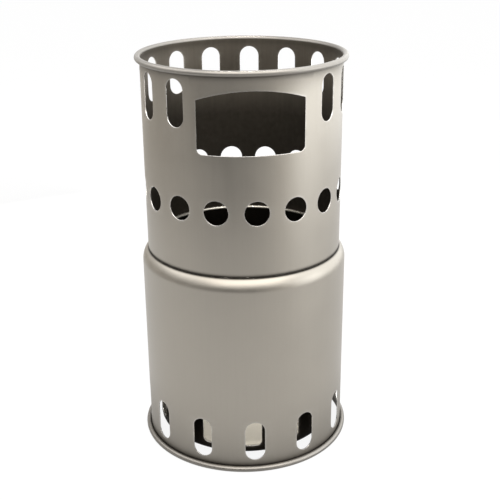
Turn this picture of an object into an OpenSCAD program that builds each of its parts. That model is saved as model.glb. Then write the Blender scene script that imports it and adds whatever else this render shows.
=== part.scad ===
// Backpacking wood stove: three thin titanium shells that stack and lift apart.
// The firebox hangs in the base by its rolled rim, and the pot stand sits on the base's shoulder.
// Millimetres, +Z up, origin at the middle of the foot, with the feed window facing -Y.
// Turns are in degrees about Z, counted from -Y towards +X.

/* [Sheet and rolled edges] */
// Thickness of the sheet that every shell is drawn from
sheet = 0.4; // [0.3:0.05:0.5]
// Gap between the tip of a rolled edge and the wall it is rolled from
roll_gap = 0.25; // [0.1:0.05:0.3]
// How much a rolled edge is flattened where it carries weight
roll_flat = 0.06; // [0.02:0.01:0.12]

/* [Fits between the shells] */
// Radial gap between the firebox wall and the edge of the base's opening
sleeve_gap = 0.3; // [0.2:0.05:0.8]
// Radial gap between the firebox's rolled rim and the inside of the pot stand
collar_gap = 0.25; // [0.2:0.05:0.8]
// Gap left where one shell rests on another
seat_gap = 0.15; // [0.05:0.01:0.3]

/* [Air slots of base and firebox] */
// Width of an air slot
air_slot_w = 8.7; // [6:0.1:10]
// Height of an air slot, end to end
air_slot_len = 18.7; // [14:0.1:24]

/* [Firebox] */
// Outside diameter of the firebox wall
firebox_d = 80.8; // [72:0.1:100]
// How far the firebox is turned where it hangs, in degrees
firebox_turn = -1.3; // [-12:0.1:12]
// Outside diameter of the roll along the firebox's rim
firebox_roll_d = 2.4; // [2:0.1:2.8]
// Height of the firebox's floor above the ground
floor_lift = 5.2; // [3:0.1:9]
// Outer radius of the bend from wall to floor
floor_bend_r = 2.5; // [1.5:0.1:4]
// Height that the middle of the floor is pressed up
dish_h = 0.8; // [0.4:0.1:2]
// Distance from the outside of the wall in to the foot of the pressed step
dish_inset = 6.2; // [4.5:0.1:12]
// Slope of the pressed step, in degrees
dish_slope = 45; // [20:1:60]
// Number of air slots round the firebox
firebox_slot_count = 14; // [8:1:18]
// Height of the slots' lower ends above the underside of the floor
firebox_slot_rise = 3.9; // [3:0.1:8]
// Radius of the corners of the firebox's slots
firebox_slot_corner_r = 2.3; // [1:0.1:2.9]
// Number of upper air holes round the firebox
jet_count = 24; // [12:1:32]
// Diameter of an upper air hole
jet_d = 5; // [3:0.1:6]
// Distance from the top of the rim down to the middle of the upper air holes
jet_drop = 14; // [9:0.1:22]

/* [Base] */
// Height of the base, from the ground to the edge of its opening
base_h = 92.6; // [70:0.1:120]
// How far the base stands out past the pot stand, measured on the radius
shoulder_step = 2.65; // [1.5:0.05:5]
// Outer radius of the rounded shoulder
shoulder_r = 7.5; // [5:0.1:10]
// Outside diameter of the roll along the foot
base_roll_d = 2.6; // [2:0.1:3.4]
// Number of air slots round the base
base_slot_count = 12; // [8:1:18]
// Height of plain wall between the roll and the air slots
base_slot_rise = 2.75; // [1.5:0.05:8]

/* [Pot stand] */
// Height of the pot stand, lower edge to top of rim
pot_stand_h = 85.25; // [76:0.05:120]
// Outside diameter of the roll along the top rim
stand_roll_d = 2.5; // [2:0.1:3]
// How far round the two rows of openings sit from the middle of the window, in degrees
row_turn = 2.3; // [-4:0.1:4]
// Number of round air holes
hole_count = 16; // [8:1:20]
// Diameter of a round air hole
hole_d = 10.4; // [6:0.1:12]
// Height of the middle of the round holes above the lower edge
hole_rise = 27.6; // [12:0.1:32]
// Number of vent slots under the rim
vent_count = 12; // [6:1:14]
// Width of a vent slot
vent_w = 8.6; // [5:0.1:10]
// Height of a vent slot, end to end
vent_len = 19.4; // [12:0.1:24]
// Distance from the top of the rim down to the vent slots
vent_drop = 4.65; // [4:0.05:10]

/* [Feed window in the pot stand] */
// Width of the window, straight across
window_w = 43.2; // [30:0.1:50]
// Height of the window's sides
window_side_h = 21.7; // [15:0.1:26]
// Rise of the arched top above the sides
window_rise = 4; // [2:0.1:6]
// Radius of the two lower corners
window_corner_r = 2.2; // [1:0.1:5]
// Distance from the top of the rim down to the crown of the arch
window_drop = 8.05; // [5:0.05:14]
// Width of metal between the window and the vent slots beside it
window_margin = 7.5; // [4:0.1:12]

/* [Hidden] */
$fn = 128;
// How far every cut runs past the metal
overrun = 1;

// Radii, worked outwards from the firebox
firebox_r = firebox_d / 2;
opening_r = firebox_r + sleeve_gap;
firebox_roll_c = roll_centre(firebox_r, firebox_roll_d);
stand_inner_r = firebox_roll_c + firebox_roll_d / 2 + collar_gap;
stand_r = stand_inner_r + sheet;
base_r = stand_r + shoulder_step;
shoulder_c = base_r - shoulder_r;

// Heights, worked upwards from the ground
foot_roll_z = base_roll_d / 2 - roll_flat;
base_slot_z = base_roll_d - roll_flat + base_slot_rise;
shoulder_z = base_h - bend_rise(opening_r, shoulder_r);
firebox_roll_z = shoulder_z + bend_rise(firebox_roll_c, shoulder_r + firebox_roll_d / 2 + seat_gap);
firebox_slot_z = floor_lift + firebox_slot_rise;
jet_z = firebox_roll_z + firebox_roll_d / 2 - jet_drop;
stand_z = shoulder_z + bend_rise(stand_inner_r, shoulder_r) + seat_gap;
stand_top = stand_z + pot_stand_h;
stand_roll_z = stand_top - stand_roll_d / 2 + roll_flat;
hole_z = stand_z + hole_rise;
vent_z = stand_top - vent_drop - vent_len;
window_z = stand_top - window_drop - window_rise - window_side_h;

// The vent slots share the way round between them, past the window and its margins
window_half_turn = asin(window_w / 2 / stand_r);
vent_first_turn = window_half_turn + arc_turn(window_margin + vent_w / 2, stand_r);
vent_pitch = (360 - 2 * vent_first_turn) / (vent_count - 1);

// Angle at the axis of a length along a wall of radius r
function arc_turn(length, r) = length / r * 180 / PI;

// Radius of the middle of a roll along a wall of outer radius r
function roll_centre(r, roll_d) = r - sheet + roll_d / 2;

// Height above the shoulder's centre of a curve of radius bend, at radius r
function bend_rise(r, bend) = sqrt(pow(bend, 2) - pow(max(0, r - shoulder_c), 2));

// Section of an edge rolled outwards, below a wall of outer radius r that starts at y = 0
module rolled_edge(r, roll_d) {
    c = roll_centre(r, roll_d);
    hollow_r = roll_d / 2 - sheet;
    tip_y = hollow_r * tan(acos((hollow_r - roll_gap) / (roll_d / 2)));
    difference() {
        translate([c, 0]) circle(d = roll_d);
        translate([c, 0]) circle(r = hollow_r);
        polygon([[c, 0], [r, 0], [r, tip_y]]);
    }
}

// Solid outline of a wall of radius r that a rounded shoulder closes at the top
module shouldered(r, bend) {
    square([r, shoulder_z]);
    square([shoulder_c, shoulder_z + bend]);
    translate([shoulder_c, shoulder_z]) circle(r = bend);
}

// Solid outline of a cup of radius r and height h with a rounded foot
module cup(r, h, bend) {
    translate([0, bend]) square([r, h - bend]);
    square([r - bend, h]);
    translate([r - bend, bend]) circle(r = bend);
}

// Outline of the pressed step under the middle of the firebox's floor, with its foot at radius r
module dish(r) {
    polygon([[0, 0], [r, 0], [r - dish_h / tan(dish_slope), dish_h], [0, dish_h]]);
}

// Upright slot with round ends, its lower end at the origin
module slot(w, len) {
    translate([-w / 2, w / 2]) square([w, len - w]);
    for (y = [w / 2, len - w / 2]) translate([0, y]) circle(d = w);
}

// Upright slot with rounded corners, the middle of its lower end at the origin
module cornered_slot(w, len, corner_r) {
    corner_x = w / 2 - corner_r;
    translate([-w / 2, corner_r]) square([w, len - 2 * corner_r]);
    translate([-corner_x, 0]) square([2 * corner_x, len]);
    for (x = [-corner_x, corner_x], y = [corner_r, len - corner_r]) {
        translate([x, y]) circle(r = corner_r);
    }
}

// Feed window: arched top, sharp upper corners and rounded lower ones, its sill at the origin
module window() {
    half_w = window_w / 2;
    arch_r = (pow(half_w, 2) + pow(window_rise, 2)) / (2 * window_rise);
    crown = window_side_h + window_rise;
    corner_x = half_w - window_corner_r;
    intersection() {
        translate([0, crown - arch_r]) circle(r = arch_r);
        union() {
            translate([-half_w, window_corner_r]) square([window_w, crown - window_corner_r]);
            translate([-corner_x, 0]) square([2 * corner_x, crown]);
            for (x = [-corner_x, corner_x]) {
                translate([x, window_corner_r]) circle(r = window_corner_r);
            }
        }
    }
}

// Stands an outline of width w upright at height z and runs it out through a wall of outer radius r
module punch(turn, z, r, w) {
    start = sqrt(pow(r - sheet, 2) - pow(w / 2, 2)) - overrun;
    rotate([0, 0, turn]) translate([0, -start, z]) rotate([90, 0, 0]) {
        linear_extrude(height = r + overrun - start) children();
    }
}

// Even row of openings of width w, from one at a turn, round a wall of outer radius r at height z
module punched_row(count, turn, z, r, w) {
    for (i = [0 : count - 1]) {
        punch(turn + i * 360 / count, z, r, w) children();
    }
}

// Lower shell: foot roll, air slots, wall and rounded shoulder with the firebox's opening
module base() {
    color([0.66, 0.63, 0.59]) difference() {
        rotate_extrude() difference() {
            union() {
                difference() {
                    shouldered(base_r, shoulder_r);
                    shouldered(base_r - sheet, shoulder_r - sheet);
                    square([base_r + overrun, foot_roll_z]);
                }
                translate([0, foot_roll_z]) rolled_edge(base_r, base_roll_d);
            }
            square([opening_r, shoulder_z + shoulder_r + overrun]);
            translate([0, -base_roll_d]) square([base_r + base_roll_d, base_roll_d]);
        }
        punched_row(base_slot_count, 0, base_slot_z, base_r, air_slot_w) {
            slot(air_slot_w, air_slot_len);
        }
    }
}

// Burning cup: pressed floor, air slots, upper air holes and the rolled rim it hangs by
module firebox() {
    color([0.6, 0.58, 0.54]) difference() {
        rotate_extrude() {
            translate([0, floor_lift]) difference() {
                union() {
                    difference() {
                        cup(firebox_r, firebox_roll_z - floor_lift, floor_bend_r);
                        translate([0, sheet]) cup(firebox_r - sheet, firebox_roll_z, floor_bend_r - sheet);
                    }
                    translate([0, sheet]) dish(firebox_r - dish_inset + sheet * tan(dish_slope / 2));
                }
                dish(firebox_r - dish_inset);
            }
            translate([0, firebox_roll_z]) mirror([0, 1]) rolled_edge(firebox_r, firebox_roll_d);
        }
        punched_row(firebox_slot_count, firebox_turn, firebox_slot_z, firebox_r, air_slot_w) {
            cornered_slot(air_slot_w, air_slot_len, firebox_slot_corner_r);
        }
        punched_row(jet_count, firebox_turn, jet_z, firebox_r, jet_d) circle(d = jet_d);
    }
}

// Upper shell: tube with round air holes, feed window, vent slots and the rolled rim for the pot
module pot_stand() {
    color([0.68, 0.65, 0.61]) difference() {
        rotate_extrude() difference() {
            union() {
                translate([stand_inner_r, stand_z]) square([sheet, stand_roll_z - stand_z]);
                translate([0, stand_roll_z]) mirror([0, 1]) rolled_edge(stand_r, stand_roll_d);
            }
            translate([0, stand_top]) square([stand_r + stand_roll_d, stand_roll_d]);
        }
        punched_row(hole_count, row_turn, hole_z, stand_r, hole_d) circle(d = hole_d);
        for (i = [0 : vent_count - 1]) {
            turn = row_turn + vent_first_turn + i * vent_pitch;
            punch(turn, vent_z, stand_r, vent_w) slot(vent_w, vent_len);
        }
        punch(0, window_z, stand_r, window_w) window();
    }
}

base();
firebox();
pot_stand();
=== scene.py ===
"""Looks of a backpacking wood stove: three shells of satin titanium sheet on a pale studio floor.

Each shell is one closed sheet whose two faces, punched openings and rolled edges are worked out
with numpy from its section and its rows of openings, and it stands for one CAD node. Lengths of the
stove are in millimetres and become metres when a mesh is written. The studio is in metres. Turns
are in degrees about Z, counted from -Y, where the feed window is, towards +X.
"""

import logging
from collections.abc import Callable
from dataclasses import dataclass, field, replace
from enum import Enum, IntEnum

import bpy
import numpy as np
from mathutils import Matrix, Vector


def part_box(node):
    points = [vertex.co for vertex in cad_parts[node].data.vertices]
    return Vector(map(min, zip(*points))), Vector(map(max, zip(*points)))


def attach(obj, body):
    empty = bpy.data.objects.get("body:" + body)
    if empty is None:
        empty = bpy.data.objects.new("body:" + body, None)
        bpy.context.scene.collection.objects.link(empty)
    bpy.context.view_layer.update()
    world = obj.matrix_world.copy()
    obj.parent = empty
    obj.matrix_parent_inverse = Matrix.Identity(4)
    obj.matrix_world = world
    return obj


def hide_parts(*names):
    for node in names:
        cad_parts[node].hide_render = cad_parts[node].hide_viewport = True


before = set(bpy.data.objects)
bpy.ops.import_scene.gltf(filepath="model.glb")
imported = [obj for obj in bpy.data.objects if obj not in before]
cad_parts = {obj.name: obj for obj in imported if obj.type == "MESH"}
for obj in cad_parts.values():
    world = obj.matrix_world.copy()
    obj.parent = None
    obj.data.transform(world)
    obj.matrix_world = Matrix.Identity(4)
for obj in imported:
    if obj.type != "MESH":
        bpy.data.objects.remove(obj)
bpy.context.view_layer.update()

Pair = tuple[float, float]
Triple = tuple[float, float, float]
Socket = bpy.types.NodeSocket

LOG = logging.getLogger("stove")
MM = 0.001
UP = np.array([0.0, 0.0, 1.0])

# Vertical lines round every shell, which all its patches share
COLUMNS = 480
# Points that are equal when rounded to this, in mm, are one vertex
WELD = 1e-5
# Distance over which bright wear fades away from an edge, in mm
WEAR_REACH = 0.35
# Stretches of a roll's hollow, of its tip and of its outside
HOLLOW_STEPS = 26
TIP_STEPS = 6
ROLL_STEPS = 30
# Points of an outline's arc, and of each eased corner of a punched edge
ARC_POINTS = 65
EASED_POINTS = 4
# Rings in the wall round an opening: each at a distance from its edge in mm, or at a share of the
# way out to the border of its cell where that is nearer
RING_REACHES = np.array([0, 0.25, 0.8, np.inf, np.inf])[:, None]
RING_SHARES = np.array([0, 0.15, 0.4, 0.7, 1])[:, None]


class Finish(IntEnum):
    """Where on a shell a face lies, which picks its finish and its place in the material list."""

    OUTSIDE = 0
    INSIDE = 1
    EDGE = 2
    ROLL = 3
    FLOOR = 4


def turn_of(line: np.ndarray) -> np.ndarray:
    """Return the angle in radians of vertical lines, given by number."""
    return line * (2 * np.pi / COLUMNS)


def outwards(theta: np.ndarray) -> np.ndarray:
    """Return the unit vector that points away from the axis at each angle: (sin, -cos, 0)."""
    return np.stack([np.sin(theta), -np.cos(theta), np.zeros_like(theta)], axis=-1)


def onwards(theta: float) -> np.ndarray:
    """Return the level unit vector along the wall at an angle: (cos, sin, 0)."""
    return np.array([np.cos(theta), np.sin(theta), 0.0])


def add_object(name: str, data: bpy.types.ID) -> bpy.types.Object:
    """Put a mesh, a lamp or a camera into the scene.

    Args:
        name: Name of its new object.
        data: The mesh, the lamp or the camera.

    Returns:
        The object.
    """
    made = bpy.data.objects.new(name, data)
    bpy.context.scene.collection.objects.link(made)
    return made


def keep_values(mesh: bpy.types.Mesh, name: str, values: np.ndarray) -> None:
    """Keep a number for each vertex of a mesh, which its materials read by name."""
    mesh.attributes.new(name, "FLOAT", "POINT").data.foreach_set("value", values)


@dataclass(frozen=True)
class Patch:
    """A grid of surface points, with how each row of faces is finished.

    Args:
        points: Places in mm, of shape (rows, columns, 3).
        normals: Unit vectors away from the metal, of the same shape.
        wear: How far each point is polished by handling, from 0 to 1, of shape (rows, columns).
        finish: One Finish for each row of faces, of shape (rows - 1,).
    """

    points: np.ndarray
    normals: np.ndarray
    wear: np.ndarray
    finish: np.ndarray


@dataclass(frozen=True)
class SheetMesh:
    """The patches of a shell, which go right round it and are welded into one closed mesh."""

    patches: list[Patch]

    def cells(self) -> tuple[np.ndarray, np.ndarray]:
        """Return the cells of every patch's grid, with the patches' points numbered in one go.

        Returns:
            The four corners of each cell, by number of point, and the cells' finishes.
        """
        quads = []
        finish = []
        start = 0
        for patch in self.patches:
            rows, columns = patch.wear.shape
            here = start + np.arange(rows * columns).reshape(rows, columns)
            beside = np.roll(here, -1, axis=1)
            quads.append(np.stack([here[:-1], beside[:-1], beside[1:], here[1:]], axis=-1).reshape(-1, 4))
            finish.append(np.repeat(patch.finish, columns))
            start += rows * columns
        return np.concatenate(quads), np.concatenate(finish)

    def welded(self) -> tuple[np.ndarray, np.ndarray, np.ndarray, np.ndarray]:
        """Make one vertex of the points that are equal when rounded to WELD.

        It gets the mean of their normals and the greatest of their wear.

        Returns:
            The vertices, their normals, their wear, and the vertex that each point becomes.
        """
        points = np.concatenate([p.points.reshape(-1, 3) for p in self.patches])
        normals = np.concatenate([p.normals.reshape(-1, 3) for p in self.patches])
        wear = np.concatenate([p.wear.ravel() for p in self.patches])
        keys = np.round(points / WELD).astype(np.int64)
        _, first, same = np.unique(keys, axis=0, return_index=True, return_inverse=True)
        same = same.ravel()
        shared = np.zeros((len(first), 3))
        np.add.at(shared, same, normals)
        worn = np.zeros(len(first))
        np.maximum.at(worn, same, wear)
        return points[first], shared / np.linalg.norm(shared, axis=1, keepdims=True), worn, same

    def build(self, name: str, painted_shade_at: Callable[[np.ndarray, np.ndarray], np.ndarray]) -> bpy.types.Object:
        """Weld the patches and put the result into a new object.

        Each grid cell gives a quad, or a triangle where two of its corners are one vertex. A face
        whose own normal points against its vertices' normals is turned round.

        Args:
            name: Name of the object and its mesh.
            painted_shade_at: Gives the painted shade at places of the section, from their radii and heights.

        Returns:
            The object, at the origin, with its normals, wear, painted shade and face finishes set.
        """
        points, normals, worn, same = self.welded()
        quads, finish = self.cells()
        faces = same[quads]

        # A cell whose diagonals are parallel has no area and gives no face
        across = points[faces[:, 2]] - points[faces[:, 0]]
        up = points[faces[:, 3]] - points[faces[:, 1]]
        facing = np.cross(across, up)
        solid = np.linalg.norm(facing, axis=1) > WELD * WELD
        faces, finish, facing = faces[solid], finish[solid], facing[solid]
        against = (facing * normals[faces].sum(axis=1)).sum(axis=1) < 0
        faces[against] = faces[against][:, ::-1]

        doubled = faces == np.roll(faces, -1, axis=1)
        plain = ~doubled.any(axis=1)
        corner_at = doubled[~plain].argmax(axis=1)
        left = (corner_at[:, None] + np.array([1, 2, 3])) % 4
        triangles = np.take_along_axis(faces[~plain], left, axis=1)
        polygons = faces[plain].tolist() + triangles.tolist()

        mesh = bpy.data.meshes.new(name)
        mesh.from_pydata(points * MM, [], polygons)
        mesh.polygons.foreach_set("material_index", np.concatenate([finish[plain], finish[~plain]]))
        mesh.polygons.foreach_set("use_smooth", np.ones(len(polygons), bool))
        keep_values(mesh, "wear", worn)
        # Painted shade: a number at each vertex that darkens the colour in creases, at seams and under rims,
        # where shade falls
        keep_values(mesh, "soot", painted_shade_at(np.hypot(points[:, 0], points[:, 1]), points[:, 2]))
        mesh.update()
        mesh.normals_split_custom_set_from_vertices(normals)
        return add_object(name, mesh)


@dataclass(frozen=True)
class Section:
    """A stretch of a shell's section, from point to point.

    Args:
        points: Radius and height of each point in mm, of shape (n, 2).
        normals: Unit vectors away from the metal, of shape (n, 2).
        wear: Wear at each point, of shape (n,).
        finish: Finish of each stretch between two points, of shape (n - 1,).
    """

    points: np.ndarray
    normals: np.ndarray
    wear: np.ndarray
    finish: np.ndarray

    @classmethod
    def even(cls, points: np.ndarray, normals: np.ndarray, finish: Finish) -> "Section":
        """Return a section with one finish and no wear all along."""
        return cls(points, normals, np.zeros(len(points)), np.full(len(points) - 1, finish))

    def rubbed(self) -> "Section":
        """Return the section fully worn all along."""
        return replace(self, wear=np.ones(len(self.points)))

    def then(self, *others: "Section") -> "Section":
        """Carry on this section with others, where equal ends become one point.

        Args:
            others: The sections that follow, in order.

        Returns:
            The whole section.
        """
        return Section(
            np.concatenate([self.points, *(p.points[1:] for p in others)]),
            np.concatenate([self.normals, *(p.normals[1:] for p in others)]),
            np.concatenate([self.wear, *(p.wear[1:] for p in others)]),
            np.concatenate([self.finish, *(p.finish for p in others)]),
        )

    def mirrored(self, height: float) -> "Section":
        """Return the section turned upside down about a height."""
        flip = np.array([1.0, -1.0])
        return replace(self, points=self.points * flip + [0, 2 * height], normals=self.normals * flip)

    def between(self, low: float, high: float) -> "Section":
        """Return the section pressed flat where it passes below one height or above another.

        Args:
            low: The lower height.
            high: The upper one.

        Returns:
            The section, with upright normals on its flats.
        """
        height = self.points[:, 1]
        held = np.clip(height, low, high)
        flat = np.stack([np.zeros_like(held), np.sign(height - held)], axis=-1)
        normals = np.where(flat[:, 1:] != 0, flat, self.normals)
        return replace(self, points=np.stack([self.points[:, 0], held], axis=-1), normals=normals)

    def turned(self) -> Patch:
        """Sweep the section right round the axis.

        A point at radius r and height z goes to (r sin t, -r cos t, z) at the angle t.

        Returns:
            The patch that it sweeps.
        """
        out = outwards(turn_of(np.arange(COLUMNS)))
        points = self.points[:, None, :1] * out + self.points[:, None, 1:] * UP
        normals = self.normals[:, None, :1] * out + self.normals[:, None, 1:] * UP
        wear = np.repeat(self.wear[:, None], COLUMNS, axis=1)
        return Patch(points, normals, wear, self.finish)


def rays_between(start: float, end: float, count: int) -> np.ndarray:
    """Return unit vectors (cos a, sin a) at evenly spaced angles a, from start to end in degrees."""
    angle = np.radians(np.linspace(start, end, count))
    return np.stack([np.cos(angle), np.sin(angle)], axis=-1)


def straight(start: Pair, end: Pair, normal: Pair, finish: Finish, steps: int = 1) -> Section:
    """Return a straight section between two places, each given by radius and height."""
    points = np.linspace(start, end, steps + 1)
    return Section.even(points, np.tile(np.array(normal, float), (steps + 1, 1)), finish)


def bend(centre: Pair, radius: float, start: float, end: float, finish: Finish, steps: int,
         hollow: bool = False) -> Section:
    """Return a round section: centre + radius (cos a, sin a), with a from start to end in degrees."""
    rays = rays_between(start, end, steps + 1)
    return Section.even(np.array(centre) + radius * rays, -rays if hollow else rays, finish)


@dataclass(frozen=True)
class Trace:
    """Points of an outline in the plane of a punch, with unit vectors into the metal beside it."""

    points: np.ndarray
    normals: np.ndarray


def arc_trace(centre: Pair, radius: float, start: float, end: float) -> Trace:
    """Return an arc of an outline, centre + radius (cos a, sin a), with the metal outside it."""
    rays = rays_between(start, end, ARC_POINTS)
    return Trace(np.array(centre) + radius * rays, rays)


def round_corner(centre: Pair, radius: float, start: float, end: float) -> tuple[Trace, Trace]:
    """Return both halves of a round corner, one for each of the sides that meet there."""
    middle = (start + end) / 2
    return arc_trace(centre, radius, start, middle), arc_trace(centre, radius, middle, end)


class Opening:
    """A punched opening, whose outline has four sides that face those of the cell round it."""

    def sides(self) -> list[list[Trace]]:
        """Return its lower, right, upper and left sides, each as arcs that straight lines join."""
        raise NotImplementedError

    def loop(self, across: int, up: int) -> Trace:
        """Return the outline as one loop of evenly spaced points.

        Each side is cut into equal lengths: its points are read off along the length of the line
        through all points of its arcs.

        Args:
            across: Number of pieces of the lower side and of the upper one.
            up: Number of pieces of the right side and of the left one.

        Returns:
            The loop of 2 (across + up) points, from the lower left corner and towards the right.
        """
        sides = []
        for arcs, pieces in zip(self.sides(), (across, up, across, up)):
            line = np.concatenate([np.hstack([arc.points, arc.normals]) for arc in arcs])
            steps = np.linalg.norm(np.diff(line[:, :2], axis=0), axis=1)
            length = np.concatenate([[0], np.cumsum(steps)])
            at = np.linspace(0, length[-1], pieces + 1)[:-1]
            sides.append(np.stack([np.interp(at, length, column) for column in line.T], axis=-1))
        points, normals = np.hsplit(np.concatenate(sides), 2)
        return Trace(points, normals / np.linalg.norm(normals, axis=1, keepdims=True))


@dataclass(frozen=True)
class RoundHole(Opening):
    """A round hole about its middle."""

    diameter: float

    def sides(self) -> list[list[Trace]]:
        """Return the four quarters of the circle."""
        return [[arc_trace((0, 0), self.diameter / 2, 90 * k - 135, 90 * k - 45)] for k in range(4)]


@dataclass(frozen=True)
class Slot(Opening):
    """An upright slot above the middle of its lower end. A corner_r of half the width rounds its ends."""

    width: float
    length: float
    corner_r: float

    def sides(self) -> list[list[Trace]]:
        """Trace the slot, whose sides part in the middle of each corner's arc.

        Returns:
            The arcs of the lower, right, upper and left side, which straight lines join.
        """
        inset, r, top = self.width / 2 - self.corner_r, self.corner_r, self.length - self.corner_r
        left_low, low_left = round_corner((-inset, r), r, 180, 270)
        low_right, right_low = round_corner((inset, r), r, 270, 360)
        right_top, top_right = round_corner((inset, top), r, 0, 90)
        top_left, left_top = round_corner((-inset, top), r, 90, 180)
        return [[low_left, low_right], [right_low, right_top], [top_right, top_left], [left_top, left_low]]


@dataclass(frozen=True)
class Window(Opening):
    """The feed window: round lower corners, upright sides and an arched top, above its sill.

    Args:
        width: Width, straight across.
        side: Height of the sides.
        rise: Rise of the arched top above them.
        corner_r: Radius of the lower corners.
        easing: Radius that the sharp upper corners are eased to.
    """

    width: float
    side: float
    rise: float
    corner_r: float
    easing: float = 0.35

    def sides(self) -> list[list[Trace]]:
        """Trace the window, whose sides part in the middle of each corner's arc.

        The top is an arc of radius (half width squared + rise squared) / (2 rise). The easing of
        an upper corner touches the side and that arc from within.

        Returns:
            The arcs of the lower, right, upper and left side, which straight lines join.
        """
        half = self.width / 2
        inset, r = half - self.corner_r, self.corner_r
        top_r = (half ** 2 + self.rise ** 2) / (2 * self.rise)
        top_z = self.side + self.rise - top_r
        eased_x = half - self.easing
        eased_z = top_z + np.sqrt((top_r - self.easing) ** 2 - eased_x ** 2)
        meet = np.degrees(np.arctan2(eased_z - top_z, eased_x))
        left_low, low_left = round_corner((-inset, r), r, 180, 270)
        low_right, right_low = round_corner((inset, r), r, 270, 360)
        right_top, top_right = round_corner((eased_x, eased_z), self.easing, 0, meet)
        top_left, left_top = round_corner((-eased_x, eased_z), self.easing, 180 - meet, 180)
        arch = arc_trace((0, top_z), top_r, meet, 180 - meet)
        upper = [top_right, arch, top_left]
        return [[low_left, low_right], [right_low, right_top], upper, [left_top, left_low]]


@dataclass(frozen=True)
class Punch:
    """One opening in its place on a wall.

    Args:
        opening: Its outline.
        turn: Angle of its middle, in degrees.
        height: Height of the outline's origin.
    """

    opening: Opening
    turn: float
    height: float

    def laid(self, trace: Trace, r: np.ndarray | float, push: np.ndarray | float) -> np.ndarray:
        """Return an outline pushed into the metal of a cylinder, as turn + arcsin(x / r) and height.

        Args:
            trace: The outline.
            r: Radius of the cylinder, or a column of radii for as many outlines.
            push: How far it is pushed, or a column of such distances.

        Returns:
            The places, of shape (n, 2), or (rows, n, 2) from columns.
        """
        flat = trace.points + np.asarray(push)[..., None] * trace.normals
        angle = np.radians(self.turn) + np.arcsin(flat[..., 0] / r)
        return np.stack([angle, flat[..., 1] + self.height], axis=-1)


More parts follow.
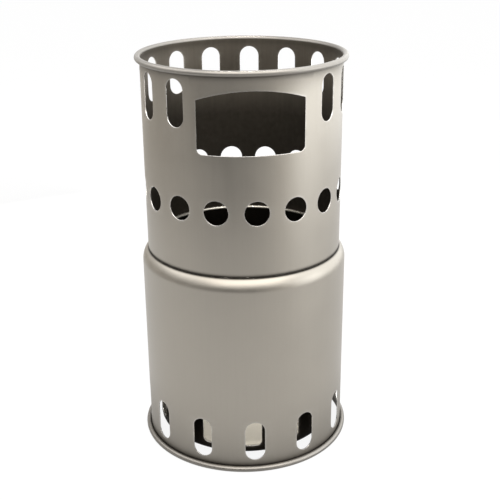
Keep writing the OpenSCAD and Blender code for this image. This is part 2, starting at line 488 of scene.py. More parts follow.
@dataclass(frozen=True)
class Wall:
    """The upright wall of a shell.

    Args:
        outer_r: Outer radius.
        sheet: Thickness.
        easing: Radius that the edges of its openings are eased to.
    """

    outer_r: float
    sheet: float
    easing: float

    @property
    def inner_r(self) -> float:
        """Return the inner radius."""
        return self.outer_r - self.sheet

    def outside(self, start: float, end: float, steps: int) -> Section:
        """Return the section of the outer face from one height to another."""
        return straight((self.outer_r, start), (self.outer_r, end), (1, 0), Finish.OUTSIDE, steps)

    def inside(self, start: float, end: float, steps: int) -> Section:
        """Return the section of the inner face from one height to another."""
        return straight((self.inner_r, start), (self.inner_r, end), (-1, 0), Finish.INSIDE, steps)

    def plain(self, low: float, high: float, steps: int) -> list[Patch]:
        """Return both faces between two heights, where nothing is punched."""
        return [self.outside(low, high, steps).turned(), self.inside(low, high, steps).turned()]

    def even_row(self, opening: Opening, count: int, turn: float, height: float,
                 levels: np.ndarray) -> list[Patch]:
        """Return a punched row of equal openings, spread evenly round the shell.

        Args:
            opening: Their outline.
            count: How many there are.
            turn: Turn of the first one, in degrees.
            height: Height of the outline's origin.
            levels: Heights of the level lines that the cells share.

        Returns:
            Three patches for each opening.
        """
        turns = turn + 360 / count * np.arange(count + 1)
        punches = [Punch(opening, at, height) for at in turns[:-1]]
        return self.punched_row(punches, turns - 180 / count, levels)

    def punched_row(self, punches: list[Punch], starts: np.ndarray, levels: np.ndarray) -> list[Patch]:
        """Return a row of openings with the wall round them, right round the shell.

        Args:
            punches: The openings, in order of their turns.
            starts: Turn in degrees at which the cell of each opening starts, and that of the first
                one again after a full turn.
            levels: Heights of the level lines that the cells share.

        Returns:
            Three patches for each opening: the outer face, the inner face and the cut edge.
        """
        lines = np.round(starts * COLUMNS / 360).astype(int)
        lines[-1] = lines[0] + COLUMNS
        cells = zip(punches, lines[:-1], lines[1:])
        return [patch for punch, first, last in cells for patch in self.cell(punch, first, last, levels)]

    def cell(self, punch: Punch, first: int, last: int, levels: np.ndarray) -> list[Patch]:
        """Return one opening with the wall from it out to a rectangle.

        Args:
            punch: The opening.
            first: Number of the vertical line on the rectangle's left.
            last: Number of the one on its right.
            levels: Heights of its level lines.

        Returns:
            The outer face, the inner face and the cut edge.
        """
        across = last - first
        up = len(levels) - 1
        trace = punch.opening.loop(across, up)
        angles = turn_of(np.arange(first, last + 1))
        turns = [angles[:-1], np.full(up, angles[-1]), angles[:0:-1], np.full(up, angles[0])]
        heights = [np.full(across, levels[0]), levels[:-1], np.full(across, levels[-1]), levels[:0:-1]]
        border = np.stack([np.concatenate(turns), np.concatenate(heights)], axis=-1)
        return [
            self.ringed(punch, trace, border, outer=True),
            self.ringed(punch, trace, border, outer=False),
            self.cut_edge(punch, trace),
        ]

    def ringed(self, punch: Punch, trace: Trace, border: np.ndarray, outer: bool) -> Patch:
        """Return one face of the wall, from an opening's eased edge out to the border of its cell.

        Rings that are close together near the edge join its points to those of the same number on
        the border. Wear fades as exp(-d / WEAR_REACH) at a distance d from the edge.

        Args:
            punch: The opening.
            trace: Its outline.
            border: Angles and heights of as many points on the border.
            outer: Whether this is the outer face.

        Returns:
            The face.
        """
        r, way, finish = (self.outer_r, 1, Finish.OUTSIDE) if outer else (self.inner_r, -1, Finish.INSIDE)
        rim = punch.laid(trace, r, self.easing)
        span = np.hypot((border[:, 0] - rim[:, 0]) * r, border[:, 1] - rim[:, 1])
        share = np.minimum(RING_REACHES / span, RING_SHARES)
        rings = rim + share[..., None] * (border - rim)
        out = outwards(rings[..., 0])
        wear = np.exp(-share * span / WEAR_REACH)
        return Patch(r * out + rings[..., 1:] * UP, way * out, wear, np.full(len(share) - 1, finish))

    def cut_edge(self, punch: Punch, trace: Trace) -> Patch:
        """Return the cut edge of an opening, from the outer face to the inner one.

        Its section is a quarter arc at each face and a straight line between them. Where an arc's
        angle is a, from 0 to 90 or from 90 to 180 degrees, the point lies easing (1 - sin a) into the
        metal beside the cut, and its normal is cos a outwards less sin a into that metal.

        Args:
            punch: The opening.
            trace: Its outline.

        Returns:
            The edge, fully worn.
        """
        quarter = np.linspace(0, np.pi / 2, EASED_POINTS)
        angle = np.concatenate([quarter, quarter + np.pi / 2])[:, None]
        first_depth = self.easing * (1 - np.cos(quarter))
        last_depth = self.sheet - self.easing * (1 + np.cos(quarter + np.pi / 2))
        r = self.outer_r - np.concatenate([first_depth, last_depth])[:, None]
        laid = punch.laid(trace, r, self.easing * (1 - np.sin(angle)))
        out = outwards(laid[..., 0])
        into = trace.normals[:, :1] * onwards(np.radians(punch.turn)) + trace.normals[:, 1:] * UP
        normals = np.cos(angle)[..., None] * out - np.sin(angle)[..., None] * into
        normals /= np.linalg.norm(normals, axis=-1, keepdims=True)
        points = r[..., None] * out + laid[..., 1:] * UP
        return Patch(points, normals, np.ones(points.shape[:2]), np.full(len(angle) - 1, Finish.EDGE))


class Noise(Enum):
    """Noises that every finish is made of: cycles per metre, detail and stretch along Z."""

    BROAD = (55, 2, 1.0)
    UPRIGHT = (900, 3, 0.02)
    FINE = (3200, 2, 0.06)
    PATCHY = (420, 3, 1.0)


class Graph:
    """A material's nodes, with short ways to add the kinds that the finishes use."""

    def __init__(self, name: str) -> None:
        """Start a material with a Principled shader that feeds its output.

        Args:
            name: Name of the material.
        """
        self.material = bpy.data.materials.new(name)
        self.material.use_nodes = True
        self.tree = self.material.node_tree
        self.shader = self.tree.nodes["Principled BSDF"]

    def feed(self, node: bpy.types.Node, inputs: dict[str | int, object]) -> None:
        """Feed inputs of a node.

        Args:
            node: The node.
            inputs: An output or a plain value for each input, by the input's name or number.
        """
        for key, value in inputs.items():
            if isinstance(value, Socket):
                self.tree.links.new(value, node.inputs[key])
            else:
                node.inputs[key].default_value = value

    def add(self, kind: str, output: str | int, inputs: dict[str | int, object], **settings: str) -> Socket:
        """Add a node.

        Args:
            kind: Its kind.
            output: Name or number of the output that is wanted.
            inputs: What each input gets.
            settings: Its other settings.

        Returns:
            The wanted output.
        """
        node = self.tree.nodes.new(kind)
        for key, value in settings.items():
            setattr(node, key, value)
        self.feed(node, inputs)
        return node.outputs[output]

    def math(self, operation: str, *values: Socket | float) -> Socket:
        """Work out a number from others."""
        return self.add("ShaderNodeMath", 0, dict(enumerate(values)), operation=operation)

    def vary(self, base: Socket | float, noise: Socket, amount: float) -> Socket:
        """Add to a number an amount times the distance of a noise from its middle."""
        return self.math("MULTIPLY_ADD", self.math("SUBTRACT", noise, 0.5), amount, base)

    def attribute(self, name: str) -> Socket:
        """Read a number that the mesh holds at each vertex."""
        return self.add("ShaderNodeAttribute", "Fac", {}, attribute_name=name)

    def scaled(self, colour: Triple, factor: Socket) -> Socket:
        """Multiply a plain colour by a number."""
        return self.add("ShaderNodeVectorMath", "Vector", {0: colour, "Scale": factor}, operation="SCALE")

    def mix(self, share: Socket, below: Socket, above: Triple) -> Socket:
        """Lay a share of a plain colour over another colour."""
        inputs = {"Factor": share, "A": below, "B": (*above, 1)}
        return self.add("ShaderNodeMix", "Result", inputs, data_type="RGBA")

    def blend(self, share: Socket, below: Socket, above: Socket) -> Socket:
        """Lay a share of one shader over another."""
        return self.add("ShaderNodeMixShader", "Shader", {"Fac": share, 1: below, 2: above})

    def spread(self, value: Socket, low: float, high: float) -> Socket:
        """Stretch the numbers from low to high over 0 to 1, smoothly at both ends."""
        inputs = {"Value": value, "From Min": low, "From Max": high}
        return self.add("ShaderNodeMapRange", "Result", inputs, interpolation_type="SMOOTHSTEP")

    def noise(self, place: Socket, scale: float, detail: float, stretch: float) -> Socket:
        """Add noise with a scale in cycles per metre, which a stretch below 1 draws out along Z."""
        drawn = self.add("ShaderNodeMapping", "Vector", {"Vector": place, "Scale": (1, 1, stretch)})
        return self.add("ShaderNodeTexNoise", "Fac", {"Vector": drawn, "Scale": scale, "Detail": detail})


# Colour of the painted shade in creases, at seams and under rims, as linear red, green and blue, and how it
# thins out in patches
SHADE_BLACK = (0.010, 0.008, 0.006)
SHADE_LEAST = 0.88
SHADE_PATCHES = 0.2
# Share of the fine noise in the draw marks, and depth of the marks against the grain's
FINE_SHARE = 0.35
MARKS_DEPTH = 2
# How far the grain changes the colour
GRAIN_TINT = 0.10
# Between these values of the patchy noise, wear comes through
WEAR_PATCHES = (0.30, 0.60)
# What the draw marks, the broad noise, wear and the painted shade add to the roughness
DRAWN_ROUGH = 0.10
BROAD_ROUGH = 0.12
WORN_ROUGH = -0.12
SHADE_ROUGH = 0.3


@dataclass(frozen=True)
class TitaniumFinish:
    """How one kind of face of the bare titanium sheet looks.

    Args:
        colour: Colour of the metal, as linear red, green and blue; in some finishes it is darkened as
            painted shade or lightened as painted light.
        polish: Colour where handling has rubbed it bright.
        roughness: How far it spreads a reflection.
        mottle: How much the colour wanders over a few centimetres.
        marks: How strongly upright draw marks show.
        grain: Depth of the blasted grain, in mm.
        grain_size: Size of the blasted grain, in mm.
        metallic: Share of bare metal, which ash and matt oxide lower.
    """

    colour: Triple
    polish: Triple
    roughness: float
    mottle: float
    marks: float
    grain: float
    grain_size: float
    metallic: float = 1.0

    def material(self, name: str) -> bpy.types.Material:
        """Return the finish as a material, whose nodes read Object coordinates, wear and the painted shade.

        Args:
            name: Name of the material.

        Returns:
            The new material.
        """
        graph = Graph(name)
        place = graph.add("ShaderNodeTexCoord", "Object", {})
        broad = graph.noise(place, *Noise.BROAD.value)
        upright = graph.noise(place, *Noise.UPRIGHT.value)
        fine = graph.noise(place, *Noise.FINE.value)
        grain = graph.noise(place, scale=1 / (self.grain_size * MM), detail=3, stretch=1.0)
        patchy = graph.noise(place, *Noise.PATCHY.value)

        coarse = graph.math("MULTIPLY", upright, 1 - FINE_SHARE)
        drawn = graph.math("ADD", coarse, graph.math("MULTIPLY", fine, FINE_SHARE))
        tint = graph.vary(1.0, broad, self.mottle)
        tint = graph.vary(tint, drawn, self.marks)
        tint = graph.vary(tint, grain, GRAIN_TINT)
        bare = graph.scaled(self.colour, tint)

        rubbed = graph.math("MULTIPLY", graph.attribute("wear"), graph.spread(patchy, *WEAR_PATCHES))
        # Painted shade: the shade number at each vertex, thinned in patches, darkens and roughens the colour
        # where shade falls in creases and under rims
        thick = graph.math("MULTIPLY_ADD", patchy, SHADE_PATCHES, SHADE_LEAST)
        painted_shade_share = graph.math("MULTIPLY", graph.attribute("soot"), thick)
        colour = graph.mix(painted_shade_share, graph.mix(rubbed, bare, self.polish), SHADE_BLACK)

        rough = graph.vary(self.roughness, drawn, DRAWN_ROUGH)
        rough = graph.vary(rough, broad, BROAD_ROUGH)
        rough = graph.math("MULTIPLY_ADD", rubbed, WORN_ROUGH, rough)
        rough = graph.math("MULTIPLY_ADD", painted_shade_share, SHADE_ROUGH, rough)

        height = graph.math("MULTIPLY_ADD", drawn, self.marks * MARKS_DEPTH, grain)
        relief = {"Strength": 1.0, "Distance": self.grain * MM, "Height": height}
        normal = graph.add("ShaderNodeBump", "Normal", relief)
        inputs = {"Metallic": self.metallic, "Base Color": colour, "Roughness": rough, "Normal": normal}
        graph.feed(graph.shader, inputs)
        return graph.material


# The finishes of bare titanium sheet, from blasted walls to bright cut edges; some colours carry painted
# shade or painted light, as noted at each
BLASTED = TitaniumFinish(
    colour=(0.390, 0.360, 0.314), polish=(0.52, 0.49, 0.45),
    roughness=0.39, mottle=0.10, marks=0.08, grain=0.006, grain_size=0.16,
)
# Inner faces of the base and the pot stand: titanium with draw marks, its colour darkened as painted shade
# for the shade inside the tubes
SHADED_INSIDE = TitaniumFinish(
    colour=(0.185, 0.162, 0.131), polish=(0.40, 0.37, 0.32),
    roughness=0.42, mottle=0.20, marks=0.45, grain=0.004, grain_size=0.12,
)
# Firebox wall and floor underside: titanium darkened almost to black as painted shade, for the shade round
# and inside the cup
SHADED_CUP = TitaniumFinish(
    colour=(0.045, 0.039, 0.032), polish=(0.30, 0.27, 0.23),
    roughness=0.36, mottle=0.30, marks=0.40, grain=0.004, grain_size=0.12,
)
BURNISHED = TitaniumFinish(
    colour=(0.41, 0.384, 0.348), polish=(0.54, 0.51, 0.46),
    roughness=0.33, mottle=0.08, marks=0.10, grain=0.003, grain_size=0.12,
)
POLISHED = TitaniumFinish(
    colour=(0.52, 0.49, 0.43), polish=(0.60, 0.57, 0.52),
    roughness=0.22, mottle=0.06, marks=0.10, grain=0.002, grain_size=0.12,
)
# Cut edges: bare metal, brighter than the blasted faces, lightened further as a painted highlight along the
# edges
SHEARED_AND_HIGHLIT = TitaniumFinish(
    colour=(0.82, 0.79, 0.74), polish=(0.90, 0.87, 0.82),
    roughness=0.34, mottle=0.06, marks=0.10, grain=0.003, grain_size=0.10,
)
# Top of the firebox floor: matt titanium lightened to cream as painted light, for the light that falls down
# the bore onto it
LIT_FLOOR = TitaniumFinish(
    colour=(0.62, 0.575, 0.485), polish=(0.66, 0.62, 0.56),
    roughness=0.70, mottle=0.25, marks=0.05, grain=0.010, grain_size=0.35, metallic=0.5,
)

SHOWN_SHELL = (BLASTED, SHADED_INSIDE, SHEARED_AND_HIGHLIT, BURNISHED)
BURNING_CUP = (SHADED_CUP, SHADED_CUP, SHEARED_AND_HIGHLIT, POLISHED, LIT_FLOOR)


@dataclass(frozen=True)
class Crease:
    """A line round a shell along which shade is painted: dark colour in a crease, at a seam or under a
    rolled edge, where shade falls.

    Args:
        radius: Its radius.
        height: Its height.
        core: Distance over which the dark painted shade in it fades away.
        haze: Distance over which the softer painted shade beside it fades away.
        share: How dark that softer shade is where it starts, from 0 to 1.
    """

    radius: float
    height: float
    core: float
    haze: float
    share: float

    def soot(self, radius: np.ndarray, height: np.ndarray) -> np.ndarray:
        """Return the painted shade, the larger of exp(-(d / core)^2) and share exp(-d / haze), at a distance
        d from it.
        """
        away = np.hypot(radius - self.radius, height - self.height)
        return np.maximum(np.exp(-(away / self.core) ** 2), self.share * np.exp(-away / self.haze))


@dataclass
class Shell:
    """What the three shells share.

    Args:
        node: Name of the CAD node that the shell stands for, and of the body that it rides on.
        piece: Name of the new piece.
        slot: Material slot of the record. Not used.
        looks: Its finishes, in the order of Finish.
        sheet: Thickness of the sheet.
        roll_d: Outside diameter of the rolled edge.
        roll_gap: Gap between the tip of the rolled edge and the wall.
        easing: Radius that cut edges are eased to.
        margin: Wall that the cells of a row hold below and above its openings.
    """

    node: str
    piece: str
    slot: str
    looks: tuple[TitaniumFinish, ...]
    sheet: float = 0.4
    roll_d: float = 2.5
    roll_gap: float = 0.25
    easing: float = 0.08
    margin: float = 2.0
    widest_r: float = field(init=False)
    low: float = field(init=False)
    high: float = field(init=False)

    def __post_init__(self) -> None:
        """Read from the CAD node how wide the shell is and where it starts and ends."""
        low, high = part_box(self.node)
        self.widest_r = high.x / MM
        self.low = low.z / MM
        self.high = high.z / MM

    @property
    def wall(self) -> Wall:
        """Return the wall, round which the rolled edge is the widest place."""
        return Wall(self.widest_r - self.roll_d + self.sheet, self.sheet, self.easing)

    def rolled_end(self, start: float, middle: float, steps: int) -> Section:
        """Return the end of the wall with its rolled edge.

        It runs along the outer face, round the hollow of the roll to its tip, round the outside of
        the roll and back along the inner face.

        Args:
            start: Height where it starts and ends.
            middle: Height of the middle of the roll, below the start or above it.
            steps: Number of stretches of the outer face.

        Returns:
            The section.
        """
        wall = self.wall
        radius = self.roll_d / 2
        hollow = radius - self.sheet
        centre = np.array([wall.outer_r + hollow, middle])
        tip = 180 - np.degrees(np.arccos((hollow - self.roll_gap) / radius))
        tip_centre = centre + (radius - self.sheet / 2) * rays_between(tip, tip, 1)[0]
        edge = bend(centre, hollow, 180, tip + 360, Finish.INSIDE, HOLLOW_STEPS, hollow=True).then(
            bend(tip_centre, self.sheet / 2, tip + 180, tip, Finish.EDGE, TIP_STEPS),
            bend(centre, radius, tip + 360, 180, Finish.ROLL, ROLL_STEPS),
        )
        if middle > start:
            edge = edge.mirrored(middle)
        return wall.outside(start, middle, steps).then(edge, wall.inside(middle, start, 2))

    def roll_crease(self, height: float, haze: float, share: float) -> Crease:
        """Return the line of painted shade along the narrow gap beside the tip of the rolled edge."""
        return Crease(self.wall.outer_r + self.roll_gap / 2, height, core=0.5, haze=haze, share=share)

    def patches(self) -> list[Patch]:
        """Return all the patches of the shell's surface."""
        raise NotImplementedError

    def creases(self) -> list[Crease]:
        """Return the lines along which shade is painted."""
        raise NotImplementedError

    def soot(self, radius: np.ndarray, height: np.ndarray) -> np.ndarray:
        """Return the painted shade at places of the section, the most that any crease gives."""
        return np.max([crease.soot(radius, height) for crease in self.creases()], axis=0)

    def make(self) -> bpy.types.Object:
        """Build the shell, dress it and put it in the CAD node's place.

        Returns:
            Its new object.
        """
        piece = SheetMesh(self.patches()).build(self.piece, self.soot)
        for part, finish in zip(Finish, self.looks):
            piece.data.materials.append(finish.material(f"{piece.name}_{part.name.lower()}"))
        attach(piece, self.node)
        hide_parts(self.node)
        return piece


@dataclass
class Base(Shell):
    """The lower shell: rolled foot, air slots, wall and a rounded shoulder round the opening."""

    # The foot's roll and its flat
    roll_d: float = 2.6
    roll_flat: float = 0.06
    # The air slots and their height over the roll
    slot_w: float = 8.7
    slot_len: float = 18.7
    slot_rise: float = 2.75
    slot_count: int = 12
    slot_levels: int = 24
    # The shoulder, its opening and the seam with the pot stand
    shoulder_r: float = 7.5
    opening_r: float = 40.7
    seam_r: float = 42.95

    @property
    def shoulder_centre(self) -> Pair:
        """Return radius and height of the middle of the shoulder's arc, which is highest at the opening."""
        centre_r = self.wall.outer_r - self.shoulder_r
        return centre_r, self.high - np.sqrt(self.shoulder_r ** 2 - (self.opening_r - centre_r) ** 2)

    def creases(self) -> list[Crease]:
        """Find where shade is painted on the base.

        Returns:
            The gap of the foot's roll and the seam where the pot stand stands.
        """
        centre_r, centre_z = self.shoulder_centre
        seam_z = centre_z + np.sqrt(self.shoulder_r ** 2 - (self.seam_r - centre_r) ** 2)
        return [
            self.roll_crease(self.roll_d - self.roll_gap, haze=1.6, share=0.90),
            Crease(self.seam_r, seam_z, core=0.55, haze=0.3, share=0.30),
        ]

    def patches(self) -> list[Patch]:
        """Lay out the base from its foot up.

        Returns:
            The foot, the row of air slots, the plain wall, and the shoulder with its opening.
        """
        wall = self.wall
        foot_z = self.roll_d / 2 - self.roll_flat
        slot_z = self.roll_d - self.roll_flat + self.slot_rise
        levels = np.linspace(slot_z - self.margin, slot_z + self.slot_len + self.margin, self.slot_levels)
        foot = self.rolled_end(levels[0], foot_z, steps=8).between(self.low, self.high)

        centre = self.shoulder_centre
        centre_r, centre_z = centre
        inner_bend = self.shoulder_r - self.sheet
        reach = self.opening_r - centre_r
        outer_turn = np.degrees(np.arccos((reach + self.easing) / self.shoulder_r))
        inner_turn = np.degrees(np.arccos((reach + self.easing) / inner_bend))
        inner_top = centre_z + np.sqrt(inner_bend ** 2 - reach ** 2)
        mouth_r = self.opening_r + self.easing
        mouth_top, mouth_low = self.high - self.easing, inner_top + self.easing
        mouth = bend((mouth_r, mouth_top), self.easing, 90, 180, Finish.EDGE, steps=4).then(
            straight((self.opening_r, mouth_top), (self.opening_r, mouth_low), (-1, 0), Finish.EDGE),
            bend((mouth_r, mouth_low), self.easing, 180, 270, Finish.EDGE, steps=4),
        )
        shoulder = wall.outside(levels[-1], centre_z, steps=6).then(
            bend(centre, self.shoulder_r, 0, outer_turn, Finish.OUTSIDE, steps=36),
            mouth.rubbed(),
            bend(centre, inner_bend, inner_turn, 0, Finish.INSIDE, steps=14, hollow=True),
            wall.inside(centre_z, levels[-1], steps=6),
        )
        slot = Slot(self.slot_w, self.slot_len, self.slot_w / 2)
        slots = wall.even_row(slot, self.slot_count, 0, slot_z, levels)
        return [foot.turned(), shoulder.turned(), *slots]


@dataclass
class Firebox(Shell):
    """The burning cup: pressed floor, air slots, upper air holes and the roll that it hangs by."""

    roll_d: float = 2.4
    # The floor's bend, and the rise, place and softness of its pressed step
    floor_bend_r: float = 2.5
    dish_h: float = 0.8
    dish_inset: float = 6.2
    dish_soft_r: float = 0.9
    dish_points: int = 10
    # Turn of both rows of openings
    turn: float = -1.3
    # The air slots and their height over the floor's underside
    slot_w: float = 8.7
    slot_len: float = 18.7
    slot_corner_r: float = 2.3
    slot_rise: float = 3.9
    slot_count: int = 14
    slot_levels: int = 24
    # The upper air holes and their depth under the top of the rim
    jet_d: float = 5.0
    jet_drop: float = 14.0
    jet_count: int = 24
    jet_margin: float = 1.5
    jet_levels: int = 9

    def creases(self) -> list[Crease]:
        """Find where shade is painted on the firebox.

        Returns:
            The gap of the rim's roll and the corner between the floor and the wall.
        """
        return [
            self.roll_crease(self.high - self.roll_d + self.roll_gap, haze=2.0, share=0.5),
            Crease(self.wall.inner_r, self.low + self.sheet, core=2.6, haze=1.5, share=0.5),
        ]

    def patches(self) -> list[Patch]:
        """Lay out the firebox from its floor up.

        Returns:
            The floor, both rows of openings, the plain wall and the rolled rim.
        """
        wall = self.wall
        slot_z = self.low + self.slot_rise
        slot_top = slot_z + self.slot_len + self.margin
        levels = np.linspace(self.low + self.floor_bend_r, slot_top, self.slot_levels)
        slot = Slot(self.slot_w, self.slot_len, self.slot_corner_r)
        jet_z = self.high - self.jet_drop
        jet_reach = self.jet_d / 2 + self.jet_margin
        jet_levels = np.linspace(jet_z - jet_reach, jet_z + jet_reach, self.jet_levels)
        over_z, over_bend = self.low + self.sheet, self.floor_bend_r - self.sheet
        return [
            self.floor(wall.outer_r, self.low, self.floor_bend_r, 0, Finish.OUTSIDE).turned(),
            self.floor(wall.inner_r, over_z, over_bend, self.sheet, Finish.FLOOR).turned(),
            *wall.even_row(slot, self.slot_count, self.turn, slot_z, levels),
            *wall.plain(levels[-1], jet_levels[0], steps=4),
            *wall.even_row(RoundHole(self.jet_d), self.jet_count, self.turn, jet_z, jet_levels),
            self.rolled_end(jet_levels[-1], self.high - self.roll_d / 2, steps=4).turned(),
        ]

    def floor(self, wall_r: float, level: float, bend_r: float, above: float, finish: Finish) -> Section:
        """Return one face of the floor, from the foot of the wall in to the axis.

        The middle is pressed up by dish_h over a smooth step: at the radius r the face lies at
        level + dish_h (1 + cos(pi s)) / 2, where s runs from 0 to 1 across the step.

        Args:
            wall_r: Radius of this face of the wall.
            level: Height of the face outside the pressed step.
            bend_r: Radius of the bend up to the wall.
            above: Distance of this face above the underside, which draws the step inwards.
            finish: Finish of the face.

        Returns:
            The section of the face.
        """
        way = 1 if above else -1
        centre = (wall_r - bend_r, level + bend_r)
        foot = bend(centre, bend_r, 0, -90, finish, steps=6, hollow=above > 0)
        step_foot = wall_r + above - self.dish_inset
        step_head = step_foot - self.dish_h - 2 * self.dish_soft_r
        share = np.linspace(1, 0, self.dish_points)
        r = step_head + (step_foot - step_head) * share
        z = level + self.dish_h * (1 + np.cos(np.pi * share)) / 2
        slope = -self.dish_h * np.pi * np.sin(np.pi * share) / 2 / (step_foot - step_head)
        normals = np.stack([-slope, np.ones_like(slope)], axis=-1)
        normals *= way / np.linalg.norm(normals, axis=1, keepdims=True)
        return foot.then(
            straight((centre[0], level), (step_foot, level), (0, way), finish),
            Section.even(np.stack([r, z], axis=-1), normals, finish),
            straight((step_head, z[-1]), (0, z[-1]), (0, way), finish, steps=2),
        )


@dataclass
class PotStand(Shell):
    """The upper shell: tube with round air holes, feed window, vent slots and the rolled rim."""

    # The rim's roll and its flat
    roll_d: float = 2.5
    roll_flat: float = 0.06
    # Turn of both rows of openings against the window
    row_turn: float = 2.3
    # The round air holes and their height over the lower edge
    hole_d: float = 10.4
    hole_rise: float = 27.6
    hole_count: int = 16
    hole_levels: int = 15
    # The vents and their depth under the top of the rim
    vent_w: float = 8.6
    vent_len: float = 19.4
    vent_drop: float = 4.65
    vent_count: int = 12
    # The feed window, its depth under the rim and the wall between it and the next vents
    window_w: float = 43.2
    window_side_h: float = 21.7
    window_rise: float = 4.0
    window_corner_r: float = 2.2
    window_drop: float = 8.05
    window_margin: float = 7.5
    # Wall that the cells of that row hold below the sill and above the vents
    row_below: float = 2.2
    row_above: float = 2.1
    row_levels: int = 35
    # Height of the strip over the lower edge that is cut finer
    fine_h: float = 2.0
    # Painted shade inside the tube, darker further down: how dark it gets, how far under the rim it starts
    # and over what height it deepens
    inner_shade: float = 0.75
    inner_shade_top: float = 14.0
    inner_shade_fade: float = 22.0

    def creases(self) -> list[Crease]:
        """Find where shade is painted on the pot stand.

        Returns:
            The gap of the rim's roll and the lower edge, where it stands on the shoulder.
        """
        return [
            self.roll_crease(self.high - self.roll_d + self.roll_gap, haze=3.0, share=0.62),
            Crease(self.wall.outer_r, self.low, core=0.9, haze=0.3, share=0.30),
        ]

    def soot(self, radius: np.ndarray, height: np.ndarray) -> np.ndarray:
        """Add painted shade that darkens the wall inside, from the vents down, to the painted shade of the
        creases.

        Args:
            radius: Distances of the places from the axis.
            height: Heights of the places.

        Returns:
            The greater of the two at each place, from 0 to 1.
        """
        inner_shade = self.inner_shade * np.clip((self.high - self.inner_shade_top - height) / self.inner_shade_fade, 0, 1)
        inside = radius < self.widest_r - self.roll_d + self.sheet / 2
        return np.maximum(super().soot(radius, height), inner_shade * inside)

    def window_row(self, sill_z: float, levels: np.ndarray) -> list[Patch]:
        """Return the row of the feed window and the vents.

        Args:
            sill_z: Height of the window's sill.
            levels: Heights of the level lines that the cells share.

        Returns:
            The patches of the row.
        """
        wall_r = self.wall.outer_r
        window_half = np.degrees(np.arcsin(self.window_w / 2 / wall_r))
        vent_half = np.degrees(self.vent_w / 2 / wall_r)
        first = window_half + np.degrees(self.window_margin / wall_r) + vent_half
        pitch = (360 - 2 * first) / (self.vent_count - 1)
        turns = self.row_turn + first + pitch * np.arange(self.vent_count)
        before = (turns[-1] + vent_half + 360 - window_half) / 2
        after = (turns[0] - vent_half + window_half) / 2
        starts = np.array([before - 360, after, *((turns[:-1] + turns[1:]) / 2), before])
        window = Window(self.window_w, self.window_side_h, self.window_rise, self.window_corner_r)
        vent = Slot(self.vent_w, self.vent_len, self.vent_w / 2)
        vent_z = self.high - self.vent_drop - self.vent_len
        punches = [Punch(window, 0, sill_z)] + [Punch(vent, turn, vent_z) for turn in turns]
        return self.wall.punched_row(punches, starts, levels)

    def patches(self) -> list[Patch]:
        """Lay out the pot stand from its lower edge up.

        Returns:
            The lower edge, the round holes, the plain wall, the window row and the rolled rim.
        """
        wall = self.wall
        hole_z = self.low + self.hole_rise
        hole_reach = self.hole_d / 2 + self.margin
        hole_levels = np.linspace(hole_z - hole_reach, hole_z + hole_reach, self.hole_levels)
        holes = wall.even_row(RoundHole(self.hole_d), self.hole_count, self.row_turn, hole_z, hole_levels)
        sill_z = self.high - self.window_drop - self.window_rise - self.window_side_h
        row_top = self.high - self.vent_drop + self.row_above
        levels = np.linspace(sill_z - self.row_below, row_top, self.row_levels)
        half = self.sheet / 2
        edge_z = self.low + half
        fine_z = self.low + self.fine_h
        foot = wall.outside(hole_levels[0], fine_z, steps=3).then(
            wall.outside(fine_z, edge_z, steps=8),
            bend((wall.outer_r - half, edge_z), half, 0, -180, Finish.EDGE, steps=8),
            wall.inside(edge_z, hole_levels[0], steps=4),
        )
        roll_z = self.high - self.roll_d / 2 + self.roll_flat
        rim = self.rolled_end(levels[-1], roll_z, steps=8).between(self.low, self.high)
        return [
            foot.turned(),
            *holes,
            *wall.plain(hole_levels[-1], levels[0], steps=2),
            *self.window_row(sill_z, levels),
            rim.turned(),
        ]


@dataclass(frozen=True)
class Panel:
    """A soft box that faces the stove.

    Args:
        turn: Where it stands, in degrees about Z from -Y towards +X.
        reach: Level distance of its middle from the axis, in metres.
        height: Height of its middle, in metres.
        width: Width, in metres.
        length: Its other side, in metres.
        tone: Radiance.
        colour: Colour of its light.
    """

    turn: float
    reach: float
    height: float
    width: float
    length: float
    tone: float
    colour: Triple = (1.0, 1.0, 1.0)

    def placed(self, aim: Triple) -> Matrix:
        """Place the panel's middle at (d sin t, -d cos t, h), with its -Z towards a point.

        Args:
            aim: The point, in metres.

        Returns:
            The panel's matrix.
        """
        turn = np.radians(self.turn)
        place = Vector((self.reach * np.sin(turn), -self.reach * np.cos(turn), self.height))
        facing = (Vector(aim) - place).to_track_quat("-Z", "Y").to_matrix().to_4x4()
        return Matrix.Translation(place) @ facing


class SoftBox(Enum):
    """The soft boxes."""

    OVER = Panel(
        turn=0, reach=0.50, height=0.75, width=1.20, length=0.76, tone=2.35, colour=(1.0, 0.97, 0.93)
    )
    LEFT = Panel(turn=-100, reach=0.40, height=0.46, width=0.50, length=0.30, tone=1.6)
    BESIDE = Panel(
        turn=60, reach=0.46, height=0.14, width=0.34, length=0.28, tone=1.45, colour=(0.95, 0.98, 1.0)
    )
    RIGHT = Panel(
        turn=106, reach=0.21, height=0.25, width=0.46, length=0.50, tone=1.3, colour=(0.95, 0.98, 1.0)
    )
    BEHIND = Panel(turn=172, reach=0.60, height=0.16, width=0.50, length=0.34, tone=0.9)


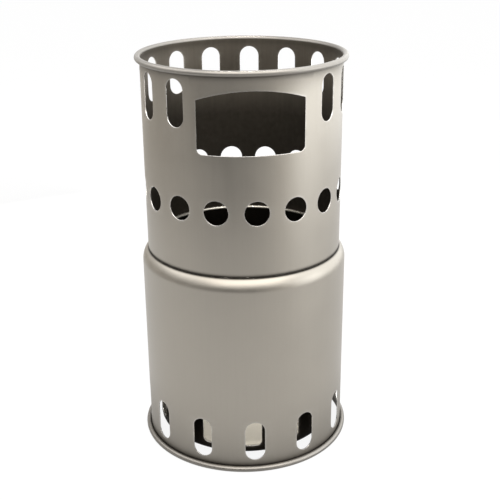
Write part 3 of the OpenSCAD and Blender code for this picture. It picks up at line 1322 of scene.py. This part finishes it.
@dataclass(frozen=True)
class Screen:
    """A low curved screen of graded grey, so that the metal shows its roundness.

    Args:
        radius: Distance of the screen from the axis, in metres.
        height: Height, in metres.
        stops: Turns in degrees from one end to the other, each with the grey there.
        tint: Share of red, green and blue in the grey.
        columns: Number of upright lines in it.
    """

    radius: float = 0.385
    height: float = 0.17
    stops: tuple[Pair, ...] = (
        (-165, 0.5), (-100, 0.38), (-66, 0.28), (-45, 0.12), (-30, 0.02),
        (0, 0.03), (16, 0.18), (30, 0.46), (50, 0.78),
    )
    tint: Triple = (1.0, 0.965, 0.915)
    columns: int = 90

    def stand(self) -> bpy.types.Object:
        """Stand the screen on the floor, unseen by the camera.

        It runs through (r sin t, -r cos t, z), and its grey is read off between the stops.

        Returns:
            The screen.
        """
        turns, greys = np.array(self.stops, float).T
        turn = np.linspace(turns[0], turns[-1], self.columns)
        foot = self.radius * outwards(np.radians(turn))
        side = np.arange(self.columns - 1)
        faces = np.stack([side, side + 1, side + 1 + self.columns, side + self.columns], axis=-1)
        mesh = bpy.data.meshes.new("screen")
        mesh.from_pydata(np.concatenate([foot, foot + [0, 0, self.height]]), [], faces.tolist())
        keep_values(mesh, "grey", np.tile(np.interp(turn, turns, greys), 2))
        graph = Graph("screen")
        grey = graph.scaled(self.tint, graph.attribute("grey"))
        graph.feed(graph.shader, {"Base Color": grey, "Roughness": 1.0, "Specular IOR Level": 0.0})
        mesh.materials.append(graph.material)
        screen = add_object("screen", mesh)
        screen.visible_camera = False
        return screen


@dataclass(frozen=True)
class Studio:
    """The pale floor, the soft light and the camera.

    Args:
        eye: Place of the camera, in metres.
        heading: Degrees that the camera looks from +Y towards +X.
        pitch: Degrees that it looks down.
        roll: Degrees that it is rolled.
        lens: Focal length in mm on a sensor 36 mm wide.
        aim: Point that the soft boxes face.
        floor_half: Half the width of the floor, in metres.
        floor_drop: Distance of the floor under the stove, in metres.
        floor_white: Share of plain white in what the floor shows.
        foot_grey: Grey of the floor at the stove's foot, in reflections.
        shade_reach: Distances from the axis between which that grey fades to white, in metres.
        spot_power: Power of the lamp over the bore, in watts.
        spot_height: Height of that lamp, in metres.
        spot_r: Radius of its light at the floor, in metres.
    """

    eye: Triple = (-0.03549, -0.39377, 0.24241)
    heading: float = 5.557
    pitch: float = 21.44
    roll: float = -0.511
    lens: float = 67.07
    aim: Triple = (0.0, 0.0, 0.09)
    floor_half: float = 6.0
    floor_drop: float = 0.02 * MM
    floor_white: float = 0.90
    foot_grey: float = 0.55
    shade_reach: Pair = (0.042, 0.095)
    spot_power: float = 60.0
    spot_height: float = 1.2
    spot_r: float = 0.040

    def camera(self) -> None:
        """Place the camera at the photograph's viewing angle.

        Forward is (cos p sin h, cos p cos h, -sin p); right and up are square to it, and turned
        about it by the roll.
        """
        h, p, r = np.radians([self.heading, self.pitch, self.roll])
        forward = np.array([np.cos(p) * np.sin(h), np.cos(p) * np.cos(h), -np.sin(p)])
        level = np.array([np.cos(h), -np.sin(h), 0.0])
        above = np.cross(level, forward)
        right = np.cos(r) * level + np.sin(r) * above
        up = np.cos(r) * above - np.sin(r) * level
        data = bpy.data.cameras.new("camera")
        data.lens = self.lens
        data.sensor_width = 36.0
        data.clip_start = 0.01
        camera = add_object("camera", data)
        rotation = Matrix(np.stack([right, up, -forward], axis=1).tolist()).to_4x4()
        camera.matrix_world = Matrix.Translation(self.eye) @ rotation
        bpy.context.scene.camera = camera

    def lamps(self) -> None:
        """Hang the soft boxes. A box of area A and radiance L has the power pi A L."""
        for box in SoftBox:
            panel = box.value
            data = bpy.data.lights.new(f"softbox_{box.name.lower()}", "AREA")
            data.shape = "RECTANGLE"
            data.size = panel.width
            data.size_y = panel.length
            data.energy = np.pi * panel.width * panel.length * panel.tone
            data.color = panel.colour
            light = add_object(data.name, data)
            light.matrix_world = panel.placed(self.aim)
            light.visible_camera = False

    def spot(self) -> None:
        """Shine a narrow lamp straight down the bore, on the firebox's floor."""
        data = bpy.data.lights.new("bore_spot", "SPOT")
        data.energy = self.spot_power
        data.spot_size = 2 * np.arctan2(self.spot_r, self.spot_height)
        data.spot_blend = 0.4
        data.shadow_soft_size = 0.03
        add_object(data.name, data).location = (0.0, 0.0, self.spot_height)

    def world(self) -> None:
        """Light everything evenly from all round, with a white background."""
        world = bpy.data.worlds.new("studio")
        world.use_nodes = True
        background = world.node_tree.nodes["Background"]
        background.inputs["Color"].default_value = (1, 1, 1, 1)
        background.inputs["Strength"].default_value = 1.0
        bpy.context.scene.world = world

    def floor(self) -> None:
        """Lay the pale floor: white to the camera but for the stove's shadow, and white in reflections.

        In reflections it darkens towards the stove's foot, as the stove's shadow there would make it.
        """
        corners = self.floor_half * np.array([[-1, -1, 0], [1, -1, 0], [1, 1, 0], [-1, 1, 0]])
        mesh = bpy.data.meshes.new("floor")
        mesh.from_pydata(corners - self.floor_drop * UP, [], [[0, 1, 2, 3]])
        graph = Graph("floor_paper")
        grey = (0.9, 0.9, 0.9, 1)
        graph.feed(graph.shader, {"Base Color": grey, "Roughness": 0.9, "Specular IOR Level": 0.1})
        ray = graph.tree.nodes.new("ShaderNodeLightPath").outputs
        seen = graph.math("MAXIMUM", ray["Is Camera Ray"], ray["Is Transmission Ray"])
        white = graph.add("ShaderNodeEmission", "Emission", {})
        share = graph.math("MULTIPLY", seen, self.floor_white)
        paper = graph.blend(share, graph.shader.outputs["BSDF"], white)
        place = graph.add("ShaderNodeTexCoord", "Object", {})
        away = graph.add("ShaderNodeVectorMath", "Value", {0: place}, operation="LENGTH")
        lit = graph.spread(away, *self.shade_reach)
        strength = graph.math("MULTIPLY_ADD", lit, 1 - self.foot_grey, self.foot_grey)
        mirrored = graph.add("ShaderNodeEmission", "Emission", {"Strength": strength})
        surface = graph.blend(ray["Is Glossy Ray"], paper, mirrored)
        graph.feed(graph.tree.nodes["Material Output"], {"Surface": surface})
        mesh.materials.append(graph.material)
        add_object("floor", mesh)

    def set_up(self) -> None:
        """Make the whole studio."""
        self.camera()
        self.world()
        self.lamps()
        self.spot()
        Screen().stand()
        self.floor()
        bpy.context.scene.view_settings.view_transform = "Standard"


def main() -> None:
    """Build the shells and the studio."""
    logging.basicConfig(level=logging.INFO, format="%(name)s: %(message)s")
    shells = [
        Base("base", "base_shell", "base_sheet", SHOWN_SHELL),
        Firebox("firebox", "firebox_cup", "firebox_sheet", BURNING_CUP),
        PotStand("pot_stand", "pot_stand_tube", "pot_stand_sheet", SHOWN_SHELL),
    ]
    for shell in shells:
        piece = shell.make()
        LOG.info("%s: %d vertices, %d faces", piece.name, len(piece.data.vertices), len(piece.data.polygons))
    Studio().set_up()


if __name__ == "__main__":
    main()
